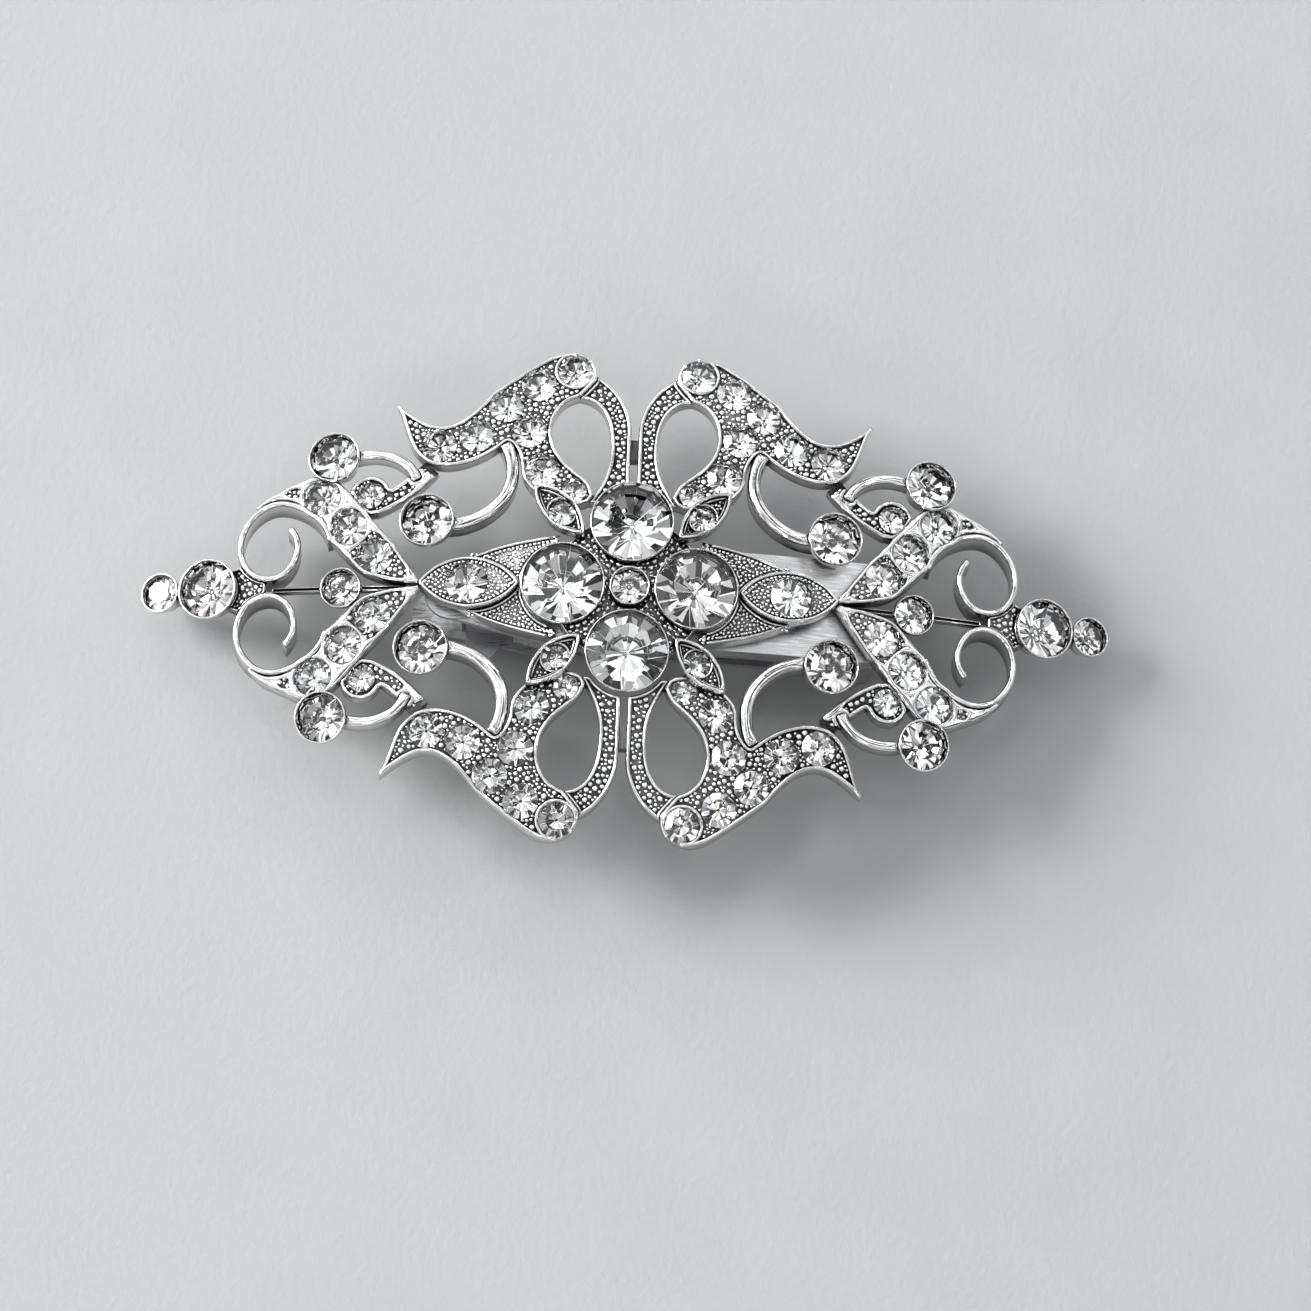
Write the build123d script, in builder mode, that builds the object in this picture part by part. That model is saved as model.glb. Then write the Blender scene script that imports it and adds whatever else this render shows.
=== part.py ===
"""Rhinestone hair clip: a domed openwork ornament soldered on a French barrette.

X runs along the clip, with the hinge towards +X. Z is up and the ornament faces up. The origin lies on
the surface that the closed clip rests on, under the middle of the ornament. All sizes are in millimetres.
Heights on the ornament are levels: radial distances from the domed face, positive outwards.
"""
from build123d import *
import math
import os

os.makedirs("parts", exist_ok=True)

# Dome and metal thicknesses
DOME_R = 107.0
METAL = 1.8
SOLDER = 0.15
BASE_T = 0.7
CLIP_GAP = 6.95
ARM_T = 0.8
BASE_TOP_R = DOME_R - METAL - SOLDER
BASE_UNDER_R = BASE_TOP_R - BASE_T
ARM_TOP_R = BASE_UNDER_R - CLIP_GAP
ARM_UNDER_R = ARM_TOP_R - ARM_T
TAIL_X = 21.6
DOME_Z = -math.sqrt(ARM_UNDER_R**2 - TAIL_X**2)
SLAB_REACH = 20.0

# Stones: diameters, and proportions as fractions of the diameter
PETAL_D = 7.2
CENTRE_D = 3.2
RIBBON_D = 3.1
ACCENT_D = 2.2
LEAF_D = 2.5
SIDE_LEAF_D = 3.7
SCROLL_D = 3.3
CRESCENT_D = 2.4
BRANCH_D = 4.6
ARCH_D = 4.4
AXIS_D = 3.4
END_LARGE_D = 5.2
END_SMALL_D = 3.3
STONE_SIDES = 12
CROWN = 0.15
GIRDLE = 0.03
PAVILION = 0.365
TABLE = 0.6
CULET = 0.12
SEAT_PLAY = 0.05
SEAT_OPENING = 1.5

# Stone places in the first quadrant, from the middle of the clip
PETAL_REACH = 6.0
RIBBON_SEATS = ((17.9, 13.5), (14.5, 14.5), (11.9, 17.5), (9.0, 19.7), (5.7, 21.3), (9.7, 15.0), (8.4, 11.2))
ACCENT_SEAT = (5.4, 9.3)
LEAF_SEAT = (6.4, 6.8)
SIDE_LEAF_X = 14.7
SCROLL_SEATS = ((23.3, 2.8), (25.8, 5.6), (28.4, 8.5))
CRESCENT_SEAT = (24.0, 8.7)
BRANCH_SEAT = (18.6, 6.0)
ARCH_SEAT = (27.4, 12.3)
AXIS_X = 26.5
END_LARGE_X = 38.4
END_SMALL_X = 42.9

# Levels of the stones' girdles and of the raised pieces
PETAL_LEVEL = 1.2
RIBBON_LEVEL = -0.1
LEAF_TOP = 1.3
LEAF_FLOOR = 0.85
LEAF_RIM_W = 0.32
LEAF_LEVEL = 0.95
SIDE_LEAF_TOP = 1.0
SIDE_LEAF_LEVEL = 0.9
CUP_LEVEL = 0.3
AXIS_LEVEL = -1.0
END_SMALL_LEVEL = 0.0
CUP_WALL = 0.25
CUP_LIP = 0.15
CUP_TAPER = 0.7
CUP_DEPTH = 2.2
END_CUP_DEPTH = 2.4

# Bands, strips and rims
ROSETTE_R = 7.0
ROSETTE_TOP = -0.2
LOOP_BACK_TOP = -0.4
LOOP_GAP = 0.35
RIM_W = 0.55
RIM_TOP = 0.1
RIM_BOTTOM = -3.2
BRANCH_W = 1.2
BRANCH_BOTTOM = -2.2
ARCH_W = 0.9
STRAND_W = 1.7
STRAND_TOP = -0.3
CRESCENT_R = 1.9
STICK_L = 12.2
STICK_W = 0.55
STICK_TOP = -1.2
BRIDGE_Y = 13.6
BRIDGE_L = 2.0
NECK_X = 40.9
NECK_R = 0.9

# Barrette
BASE_HALF_W = 4.7
FLANGE_T = 0.6
FLANGE_R = BASE_UNDER_R - 1.75
BASE_LEFT = -18.6
BASE_RIGHT = 22.7
BASE_TIP_HALF_W = 2.6
TAPER_X = -8.0
SLOT_X = 10.6
SLOT_L = 6.2
SLOT_W = 1.8
PIN_X = 20.4
PIN_Z = 2.6
PIN_R = 0.8
PIN_HEAD_R = 1.2
PIN_HEAD_T = 0.45
EAR_R = 2.6
EAR_SHOULDER = 2.3
EAR_ROOT = -4.0
EAR_RIGHT_Z = 7.6
EAR_LEFT_Z = 8.2
ARM_HALF_W = 3.85
ARM_LEFT = -19.8
ARM_TIP_HALF_W = 1.9
ARM_EAR_R = 1.8
ARM_EAR_T = 0.8
ARM_EAR_ROOT = -2.6
ARM_EAR_LEFT_Z = 0.8
ARM_EAR_RIGHT_Z = 0.4
LIP_L = 1.0
LIP_T = 0.8
PIN_PLAY = 0.06
ARM_SLOT_X = 3.2
ARM_SLOT_L = 22.0
ARM_SLOT_W = 3.4
BOW_PIVOT_X = 16.8
BOW_PIVOT_Z = 7.6
BOW_CREST = (3.5, 8.3)
BOW_TIP = (-9.6, 7.8)
BOW_T = 0.4
BOW_HALF_W = 2.6
CURL_R = 0.75
TRUNNION_R = 0.45
TRUNNION_PLAY = 0.05
TRUNNION_REACH = 4.6
CATCH_X = -13.15
CATCH_L = 3.1
WING_T = 0.4
WING_Y = 1.5
WING_FOOT_Z = 0.05
WING_ROOT_GAP = 0.05
WINDOW_L = 3.9
WINDOW_HALF_W = 1.8
TAB_Z = 4.5
TAB_REACH = 5.0
RIVET_R = 0.5
RIVET_HEAD_R = 0.75
RIVET_HEAD_T = 0.35
RIVET_PITCH = 1.7
SOLDER_SPOTS = (
    (0, 3.0), (0, -3.0), (6.0, 0), (-6.0, 0),
    (14.5, 1.5), (14.5, -1.5), (-13.5, 1.2), (-13.5, -1.2),
)
SOLDER_R = 1.0

QUADRANTS = {"upper_right": (1, 1), "upper_left": (-1, 1), "lower_right": (1, -1), "lower_left": (-1, -1)}
SIDES = {"right": 1, "left": -1}


# ---------------------------------------------------------------- helpers
def dome_plane(x, y, level=0.0):
    """The plane that faces out of the dome above (x, y), raised to a level."""
    height = math.sqrt(DOME_R**2 - x**2 - y**2)
    normal = Vector(x, y, height).normalized()
    return Plane(origin=Vector(0, 0, DOME_Z) + normal * (DOME_R + level), x_dir=(height, 0, -x), z_dir=normal)


def dome_slab(outline, top, bottom):
    """The slice of the dome between two levels inside a plan outline."""
    with BuildPart() as slab:
        extrude(outline, amount=SLAB_REACH)
        with Locations((0, 0, DOME_Z)):
            Sphere(DOME_R + top, rotation=(90, 0, 0), mode=Mode.INTERSECT)
            Sphere(DOME_R + bottom, rotation=(90, 0, 0), mode=Mode.SUBTRACT)
    return slab.part


def add_cup(plane, diameter, depth=CUP_DEPTH):
    """A tapered collet around a stone whose girdle lies in the plane."""
    radius = diameter / 2 + CUP_WALL
    with Locations(plane.offset(CUP_LIP)):
        Cone(radius * CUP_TAPER, radius, depth, align=(Align.CENTER, Align.CENTER, Align.MAX))


def cut_seat(plane, diameter):
    """A seat a little larger than the stone, open above the girdle."""
    radius = diameter / 2 + SEAT_PLAY
    shoulder = plane.offset(-GIRDLE * diameter / 2)
    with Locations(shoulder):
        Cone(
            CULET * radius,
            radius,
            PAVILION * diameter + SEAT_PLAY,
            align=(Align.CENTER, Align.CENTER, Align.MAX),
            mode=Mode.SUBTRACT,
        )
        Cylinder(
            radius, SEAT_OPENING, align=(Align.CENTER, Align.CENTER, Align.MIN), mode=Mode.SUBTRACT
        )


def chaton(plane, diameter):
    """A faceted stone, point down, with its girdle in the plane."""
    half_girdle = GIRDLE * diameter / 2
    rings = (
        (-half_girdle - PAVILION * diameter, CULET),
        (-half_girdle, 1.0),
        (half_girdle, 1.0),
        (half_girdle + CROWN * diameter, TABLE),
    )
    with BuildPart() as stone:
        for height, share in rings:
            with BuildSketch(plane.offset(height)):
                RegularPolygon(diameter / 2 * share, STONE_SIDES)
        loft(ruled=True)
    return stone.part


def write_piece(piece, name):
    """Label a finished piece and write its file."""
    piece.part.label = name
    export_step(piece.part, f"parts/{name}.step")


def write_copies(master, name, places):
    """Write one mirrored copy of a first-quadrant piece for each place, and return the parts."""
    copies = []
    for place, (x_side, y_side) in places.items():
        with BuildPart() as piece:
            add(master)
            if x_side < 0:
                mirror(about=Plane.YZ, mode=Mode.REPLACE)
            if y_side < 0:
                mirror(about=Plane.XZ, mode=Mode.REPLACE)
        write_piece(piece, f"{name}_{place}")
        copies.append(piece.part)
    return copies


def write_stones(name, seats, diameter, level, x_sides=(1,), y_sides=(1,)):
    """Write a group of equal stones, one solid for each seat and side."""
    spots = [(x_side * x, y_side * y) for x, y in seats for x_side in x_sides for y_side in y_sides]
    solids = [chaton(dome_plane(x, y, level), diameter) for x, y in spots]
    with BuildPart() as stones:
        add(solids)
    write_piece(stones, name)


BOTH_X = {side: (sign, 1) for side, sign in SIDES.items()}

# ---------------------------------------------------------------- centre flower
petal_planes = [
    dome_plane(PETAL_REACH * math.cos(turn), PETAL_REACH * math.sin(turn), PETAL_LEVEL)
    for turn in (0, math.pi / 2, math.pi, 3 * math.pi / 2)
]
centre_plane = dome_plane(0, 0, PETAL_LEVEL)

with BuildSketch() as rosette_outline:
    Circle(ROSETTE_R)
rosette = dome_slab(rosette_outline.sketch, ROSETTE_TOP, -METAL)

with BuildPart() as flower_setting:
    add(rosette)
    for petal in petal_planes:
        add_cup(petal, PETAL_D, PETAL_LEVEL + CUP_LIP + METAL)
    add_cup(centre_plane, CENTRE_D, PETAL_LEVEL + CUP_LIP + METAL)
    for petal in petal_planes:
        cut_seat(petal, PETAL_D)
    cut_seat(centre_plane, CENTRE_D)
write_piece(flower_setting, "centre_flower_setting")

for place, x, y in (("right", 1, 0), ("upper", 0, 1), ("left", -1, 0), ("lower", 0, -1)):
    write_stones(f"petal_stone_{place}", [(PETAL_REACH * x, PETAL_REACH * y)], PETAL_D, PETAL_LEVEL)
write_stones("centre_stone", [(0, 0)], CENTRE_D, PETAL_LEVEL)

# ---------------------------------------------------------------- ribbons
with BuildSketch() as ribbon_front_outline:
    with BuildLine():
        Spline((3.7, 20.4), (4.3, 22.2), (6.4, 23.0), (9.9, 21.3), (13.0, 18.9), (15.4, 16.4),
               (17.8, 15.4), (19.8, 16.1), (21.9, 17.6))
        Spline((21.9, 17.6), (20.9, 14.8), (19.6, 12.4), (17.7, 11.5),
               (15.2, 11.8), (13.0, 12.9), (11.6, 14.0))
        Spline((11.6, 14.0), (10.4, 12.2), (10.0, 10.4), (8.4, 8.6), (6.2, 7.8), (4.0, 8.2))
        Line((4.0, 8.2), (3.6, 8.9))
        Spline((3.6, 8.9), (4.4, 10.3), (6.3, 12.0), (7.6, 14.6), (7.2, 17.0), (5.2, 18.6))
        Line((5.2, 18.6), (3.7, 20.4))
    make_face()

with BuildSketch() as loop_back_outline:
    with BuildLine():
        Line((LOOP_GAP, 8.0), (LOOP_GAP, 15.5))
        Spline((LOOP_GAP, 15.5), (1.4, 18.8), (3.4, 20.7), (5.4, 21.2))
        Line((5.4, 21.2), (5.2, 18.6))
        Spline((5.2, 18.6), (3.2, 17.6), (2.2, 14.8), (2.4, 11.5), (3.6, 8.9))
        Line((3.6, 8.9), (4.0, 8.2))
        Line((4.0, 8.2), (LOOP_GAP, 8.0))
    make_face()

ribbon_front = dome_slab(ribbon_front_outline.sketch, 0, -METAL)
loop_back = dome_slab(loop_back_outline.sketch, LOOP_BACK_TOP, -METAL)
with BuildPart() as ribbon:
    add(ribbon_front)
    add(loop_back)
    with Locations(dome_plane(0, PETAL_REACH)):
        Cylinder(PETAL_D / 2 + CUP_WALL, 2 * SEAT_OPENING + METAL, mode=Mode.SUBTRACT)
    add(rosette, mode=Mode.SUBTRACT)
    for x, y in RIBBON_SEATS:
        cut_seat(dome_plane(x, y, RIBBON_LEVEL), RIBBON_D)
    cut_seat(dome_plane(*ACCENT_SEAT, RIBBON_LEVEL), ACCENT_D)
write_copies(ribbon.part, "ribbon", QUADRANTS)

for place, (x_side, y_side) in QUADRANTS.items():
    accent_plane = dome_plane(x_side * ACCENT_SEAT[0], y_side * ACCENT_SEAT[1], RIBBON_LEVEL)
    solids = [chaton(dome_plane(x_side * x, y_side * y, RIBBON_LEVEL), RIBBON_D) for x, y in RIBBON_SEATS]
    solids.append(chaton(accent_plane, ACCENT_D))
    with BuildPart() as ribbon_stones:
        add(solids)
    write_piece(ribbon_stones, f"ribbon_stones_{place}")

with BuildSketch() as bridge_outline:
    with Locations((0, BRIDGE_Y)):
        Rectangle(2 * LOOP_GAP, BRIDGE_L)
bridge = dome_slab(bridge_outline.sketch, STRAND_TOP, -METAL)
write_copies(bridge, "loop_bridge", {"upper": (1, 1), "lower": (1, -1)})

# ---------------------------------------------------------------- leaves between the petals
with BuildSketch() as leaf_outline:
    with BuildLine():
        ThreePointArc((4.3, 4.7), (7.7, 6.0), (9.0, 9.4))
        ThreePointArc((9.0, 9.4), (5.6, 8.1), (4.3, 4.7))
    make_face()
with BuildSketch() as leaf_dish_outline:
    add(leaf_outline.sketch)
    offset(amount=-LEAF_RIM_W, kind=Kind.INTERSECTION, mode=Mode.REPLACE)
leaf_slab = dome_slab(leaf_outline.sketch, LEAF_TOP, 0)
leaf_dish = dome_slab(leaf_dish_outline.sketch, LEAF_TOP + LEAF_RIM_W, LEAF_FLOOR)
with BuildPart() as leaf_setting:
    add(leaf_slab)
    add(leaf_dish, mode=Mode.SUBTRACT)
    cut_seat(dome_plane(*LEAF_SEAT, LEAF_LEVEL), LEAF_D)
write_copies(leaf_setting.part, "leaf_setting", QUADRANTS)
write_stones("leaf_stones", [LEAF_SEAT], LEAF_D, LEAF_LEVEL, (1, -1), (1, -1))

# ---------------------------------------------------------------- side leaves on the long axis
with BuildSketch() as side_leaf_outline:
    with BuildLine():
        ThreePointArc((10.0, 0), (14.6, 2.4), (19.2, 0))
        ThreePointArc((19.2, 0), (14.6, -2.4), (10.0, 0))
    make_face()
with BuildSketch() as under_leaf_outline:
    with BuildLine():
        Spline((6.5, 4.9), (9.6, 4.3), (13.4, 3.1), (16.6, 1.3), (19.6, 0))
        Line((6.5, 4.9), (6.5, 0))
        Line((6.5, 0), (19.6, 0))
    make_face()
    mirror(about=Plane.XZ)
side_leaf_slab = dome_slab(side_leaf_outline.sketch, SIDE_LEAF_TOP, 0)
under_leaf_slab = dome_slab(under_leaf_outline.sketch, 0, -METAL)
with BuildPart() as side_leaf:
    add(under_leaf_slab)
    add(side_leaf_slab)
    with Locations(dome_plane(PETAL_REACH, 0)):
        Cylinder(PETAL_D / 2 + CUP_WALL, 2 * SEAT_OPENING + METAL, mode=Mode.SUBTRACT)
    add(rosette, mode=Mode.SUBTRACT)
    cut_seat(dome_plane(SIDE_LEAF_X, 0, SIDE_LEAF_LEVEL), SIDE_LEAF_D)
write_copies(side_leaf.part, "side_leaf", BOTH_X)
write_stones("side_leaf_stones", [(SIDE_LEAF_X, 0)], SIDE_LEAF_D, SIDE_LEAF_LEVEL, (1, -1))

# ---------------------------------------------------------------- scroll arms
with BuildSketch() as arm_band_outline:
    with BuildLine():
        Spline((18.9, 0.1), (20.4, 2.2), (22.0, 4.3), (24.4, 7.1), (26.9, 9.9), (28.6, 10.7), (31.0, 9.9),
               (33.2, 8.8), (34.4, 7.4))
        Spline((34.4, 7.4), (32.5, 8.0), (30.4, 7.6), (28.8, 6.6), (27.4, 4.3))
        Spline((27.4, 4.3), (26.2, 3.0), (23.9, 1.1), (21.5, 0.35), (18.9, 0.1))
    make_face()
with BuildSketch() as spiral_outline:
    with BuildLine():
        Spline((27.4, 4.3), (28.8, 6.6), (30.4, 7.6), (32.6, 8.0), (34.9, 6.5), (35.7, 3.6), (34.3, 1.2),
               (32.1, 0.95), (30.5, 3.0), (31.2, 5.5))
    trace(line_width=RIM_W)
arm_band = dome_slab(arm_band_outline.sketch, 0, -METAL)
spiral = dome_slab(spiral_outline.sketch, RIM_TOP, RIM_BOTTOM)
with BuildPart() as scroll_arm:
    add(arm_band)
    add(spiral)
    add(side_leaf.part, mode=Mode.SUBTRACT)
    for x, y in SCROLL_SEATS:
        cut_seat(dome_plane(x, y, RIBBON_LEVEL), SCROLL_D)
write_copies(scroll_arm.part, "scroll_arm", QUADRANTS)
for place, (x_side, y_side) in QUADRANTS.items():
    write_stones(f"scroll_stones_{place}", SCROLL_SEATS, SCROLL_D, RIBBON_LEVEL, (x_side,), (y_side,))

# ---------------------------------------------------------------- branches with inner cups
with BuildSketch() as branch_outline:
    with BuildLine():
        Spline((11.8, 13.7), (11.1, 11.3), (11.4, 9.2), (12.7, 7.4), (14.6, 6.2), (17.0, 5.8))
    trace(line_width=BRANCH_W)
branch_strip = dome_slab(branch_outline.sketch, 0, BRANCH_BOTTOM)
with BuildPart() as branch:
    add(branch_strip)
    add_cup(dome_plane(*BRANCH_SEAT, CUP_LEVEL), BRANCH_D)
    cut_seat(dome_plane(*BRANCH_SEAT, CUP_LEVEL), BRANCH_D)
    add(ribbon.part, mode=Mode.SUBTRACT)
write_copies(branch.part, "branch", QUADRANTS)
write_stones("branch_stones", [BRANCH_SEAT], BRANCH_D, CUP_LEVEL, (1, -1), (1, -1))

# ---------------------------------------------------------------- arches with outer cups
with BuildSketch() as arch_outline:
    with BuildLine():
        Spline((26.0, 12.2), (22.9, 12.6), (21.0, 11.8), (19.8, 10.2))
    trace(line_width=ARCH_W)
with BuildSketch() as strand_outline:
    with BuildLine():
        Spline((18.5, 11.4), (20.4, 9.5), (23.6, 7.6))
    trace(line_width=STRAND_W)
    with Locations(CRESCENT_SEAT):
        Circle(CRESCENT_R)
arch_strip = dome_slab(arch_outline.sketch, 0, -METAL)
strand = dome_slab(strand_outline.sketch, STRAND_TOP, -METAL)
with BuildPart() as arch:
    add(arch_strip)
    add(strand)
    add_cup(dome_plane(*ARCH_SEAT, CUP_LEVEL), ARCH_D)
    cut_seat(dome_plane(*ARCH_SEAT, CUP_LEVEL), ARCH_D)
    cut_seat(dome_plane(*CRESCENT_SEAT, STRAND_TOP), CRESCENT_D)
    add(ribbon.part, mode=Mode.SUBTRACT)
    add(scroll_arm.part, mode=Mode.SUBTRACT)
write_copies(arch.part, "arch", QUADRANTS)
write_stones("arch_stones", [ARCH_SEAT], ARCH_D, CUP_LEVEL, (1, -1), (1, -1))
write_stones("crescent_stones", [CRESCENT_SEAT], CRESCENT_D, STRAND_TOP, (1, -1), (1, -1))

# ---------------------------------------------------------------- axis cups and end finials
with BuildPart() as lower_scroll_arm:
    add(scroll_arm.part)
    mirror(about=Plane.XZ, mode=Mode.REPLACE)

with BuildSketch() as stick_outline:
    with Locations((AXIS_X, 0)):
        Rectangle(STICK_L, STICK_W)
stick = dome_slab(stick_outline.sketch, STICK_TOP, -METAL)
with BuildPart() as axis_cup:
    add(stick)
    add_cup(dome_plane(AXIS_X, 0, AXIS_LEVEL), AXIS_D, METAL)
    cut_seat(dome_plane(AXIS_X, 0, AXIS_LEVEL), AXIS_D)
    add(scroll_arm.part, mode=Mode.SUBTRACT)
    add(lower_scroll_arm.part, mode=Mode.SUBTRACT)
write_copies(axis_cup.part, "axis_cup", BOTH_X)
write_stones("axis_stones", [(AXIS_X, 0)], AXIS_D, AXIS_LEVEL, (1, -1))

with BuildSketch() as web_outline:
    Polygon((33.2, 0.8), (35.5, 2.2), (37.0, 1.4), (37.0, -1.4), (35.5, -2.2), (33.2, -0.8), align=None)
with BuildSketch() as neck_outline:
    with Locations((NECK_X, 0)):
        Circle(NECK_R)
web = dome_slab(web_outline.sketch, STRAND_TOP, -METAL)
neck = dome_slab(neck_outline.sketch, STRAND_TOP, -METAL)
large_plane = dome_plane(END_LARGE_X, 0, CUP_LEVEL)
small_plane = dome_plane(END_SMALL_X, 0, END_SMALL_LEVEL)
with BuildPart() as end_finial:
    add(web)
    add(neck)
    add_cup(large_plane, END_LARGE_D, END_CUP_DEPTH)
    add_cup(small_plane, END_SMALL_D, METAL)
    cut_seat(large_plane, END_LARGE_D)
    cut_seat(small_plane, END_SMALL_D)
    add(scroll_arm.part, mode=Mode.SUBTRACT)
    add(lower_scroll_arm.part, mode=Mode.SUBTRACT)
write_copies(end_finial.part, "end_finial", BOTH_X)
write_stones("end_large_stones", [(END_LARGE_X, 0)], END_LARGE_D, CUP_LEVEL, (1, -1))
write_stones("end_small_stones", [(END_SMALL_X, 0)], END_SMALL_D, END_SMALL_LEVEL, (1, -1))


# ---------------------------------------------------------------- barrette
def arc_height(radius, x):
    """Height of a dome-centred arc above x."""
    return DOME_Z + math.sqrt(radius**2 - x**2)


def arc_band(outer, inner, left, right):
    """A side-view band between two dome-centred arcs, closed at both ends."""
    middle = (left + right) / 2
    upper_left = (left, arc_height(outer, left))
    upper_right = (right, arc_height(outer, right))
    lower_right = (right, arc_height(inner, right))
    lower_left = (left, arc_height(inner, left))
    with BuildSketch(Plane.XZ) as band:
        with BuildLine():
            ThreePointArc(upper_left, (middle, arc_height(outer, middle)), upper_right)
            Line(upper_right, lower_right)
            ThreePointArc(lower_right, (middle, arc_height(inner, middle)), lower_left)
            Line(lower_left, upper_left)
        make_face()
    return band.sketch


def tapered_plan(left, right, half_w, tip_half_w):
    """A plan outline with parallel sides and a tapered, rounded left end."""
    with BuildSketch() as plan:
        with BuildLine():
            Line((right, -half_w), (right, half_w))
            Line((right, half_w), (TAPER_X, half_w))
            Line((TAPER_X, half_w), (left + tip_half_w, tip_half_w))
            ThreePointArc((left + tip_half_w, tip_half_w), (left, 0), (left + tip_half_w, -tip_half_w))
            Line((left + tip_half_w, -tip_half_w), (TAPER_X, -half_w))
            Line((TAPER_X, -half_w), (right, -half_w))
        make_face()
    return plan.sketch


rivet_xs = (CATCH_X - RIVET_PITCH / 2, CATCH_X + RIVET_PITCH / 2)
saddle_r = BASE_UNDER_R - WING_T

# Base plate: arched channel with a tapered end, hinge ears and holes
base_side = arc_band(BASE_TOP_R, FLANGE_R, BASE_LEFT, BASE_RIGHT)
channel_side = arc_band(BASE_UNDER_R, FLANGE_R - 1, BASE_LEFT - 1, BASE_RIGHT + 1)
base_plan = tapered_plan(BASE_LEFT, BASE_RIGHT, BASE_HALF_W, BASE_TIP_HALF_W)
with BuildPart() as base_plate:
    extrude(base_side, amount=BASE_HALF_W, both=True)
    extrude(channel_side, amount=BASE_HALF_W - FLANGE_T, both=True, mode=Mode.SUBTRACT)
    for side in (1, -1):
        ear_face = Plane.XZ.offset(side * (BASE_HALF_W - FLANGE_T / 2))
        with BuildSketch(ear_face):
            with Locations((PIN_X, PIN_Z)):
                Circle(EAR_R)
            Polygon(
                (PIN_X - EAR_R, PIN_Z),
                (PIN_X + EAR_SHOULDER, PIN_Z),
                (BASE_RIGHT, EAR_RIGHT_Z),
                (PIN_X + EAR_ROOT, EAR_LEFT_Z),
                align=None,
            )
        extrude(amount=FLANGE_T / 2, both=True)
        with BuildSketch(ear_face):
            with Locations((PIN_X, PIN_Z)):
                Circle(PIN_R)
            with Locations((BOW_PIVOT_X, BOW_PIVOT_Z)):
                Circle(TRUNNION_R + TRUNNION_PLAY)
        extrude(amount=FLANGE_T, both=True, mode=Mode.SUBTRACT)
    extrude(base_plan, amount=SLAB_REACH, mode=Mode.INTERSECT)
    with BuildSketch(Plane.XY.offset(PIN_Z + EAR_R)):
        with Locations((SLOT_X, 0)):
            SlotOverall(SLOT_L, SLOT_W)
        for x in rivet_xs:
            with Locations((x, 0)):
                Circle(RIVET_R)
    extrude(amount=SLAB_REACH, mode=Mode.SUBTRACT)
write_piece(base_plate, "base_plate")

# Solder joints between the ornament and the base plate
with BuildSketch() as solder_outline:
    for spot in SOLDER_SPOTS:
        with Locations(spot):
            Circle(SOLDER_R)
solder_slab = dome_slab(solder_outline.sketch, -METAL, -METAL - 2 * SOLDER)
with BuildPart() as solder_joints:
    add(solder_slab)
    add(flower_setting.part, mode=Mode.SUBTRACT)
    extrude(base_side, amount=BASE_HALF_W, both=True, mode=Mode.SUBTRACT)
write_piece(solder_joints, "solder_joints")

# Hinge pin: shank through both ears, with a riveted head on each end
with BuildPart() as hinge_pin:
    with BuildSketch(Plane.XZ):
        with Locations((PIN_X, PIN_Z)):
            Circle(PIN_R)
    extrude(amount=BASE_HALF_W, both=True)
    for side in (1, -1):
        with BuildSketch(Plane.XZ.offset(side * (BASE_HALF_W + PIN_HEAD_T / 2))):
            with Locations((PIN_X, PIN_Z)):
                Circle(PIN_HEAD_R)
        extrude(amount=PIN_HEAD_T / 2, both=True)
write_piece(hinge_pin, "hinge_pin")

# Closing arm: arched strip with a long slot, a catch window, a thumb lip and hinge ears
arm_side = arc_band(ARM_TOP_R, ARM_UNDER_R, ARM_LEFT, TAIL_X)
arm_plan = tapered_plan(ARM_LEFT, TAIL_X, ARM_HALF_W, ARM_TIP_HALF_W)
with BuildPart() as closing_arm:
    extrude(arm_side, amount=ARM_HALF_W, both=True)
    with BuildSketch(Plane.XZ):
        with Locations((ARM_LEFT + LIP_L / 2, LIP_T / 2)):
            Rectangle(LIP_L, LIP_T)
    extrude(amount=ARM_TIP_HALF_W, both=True)
    extrude(arm_plan, amount=SLAB_REACH, mode=Mode.INTERSECT)
    with BuildSketch(Plane.XY):
        with Locations((ARM_SLOT_X, 0)):
            SlotOverall(ARM_SLOT_L, ARM_SLOT_W)
        with Locations((CATCH_X, 0)):
            Rectangle(WINDOW_L, 2 * WINDOW_HALF_W)
    extrude(amount=SLAB_REACH, mode=Mode.SUBTRACT)
    for side in (1, -1):
        ear_face = Plane.XZ.offset(side * (ARM_HALF_W - ARM_EAR_T / 2))
        with BuildSketch(ear_face):
            with Locations((PIN_X, PIN_Z)):
                Circle(ARM_EAR_R)
            Polygon(
                (PIN_X + ARM_EAR_ROOT, ARM_EAR_LEFT_Z),
                (TAIL_X, ARM_EAR_RIGHT_Z),
                (PIN_X + ARM_EAR_R, PIN_Z),
                (PIN_X - ARM_EAR_R, PIN_Z),
                align=None,
            )
        extrude(amount=ARM_EAR_T / 2, both=True)
    with BuildSketch(Plane.XZ):
        with Locations((PIN_X, PIN_Z)):
            Circle(PIN_R + PIN_PLAY)
    extrude(amount=ARM_HALF_W, both=True, mode=Mode.SUBTRACT)
write_piece(closing_arm, "closing_arm")

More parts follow.
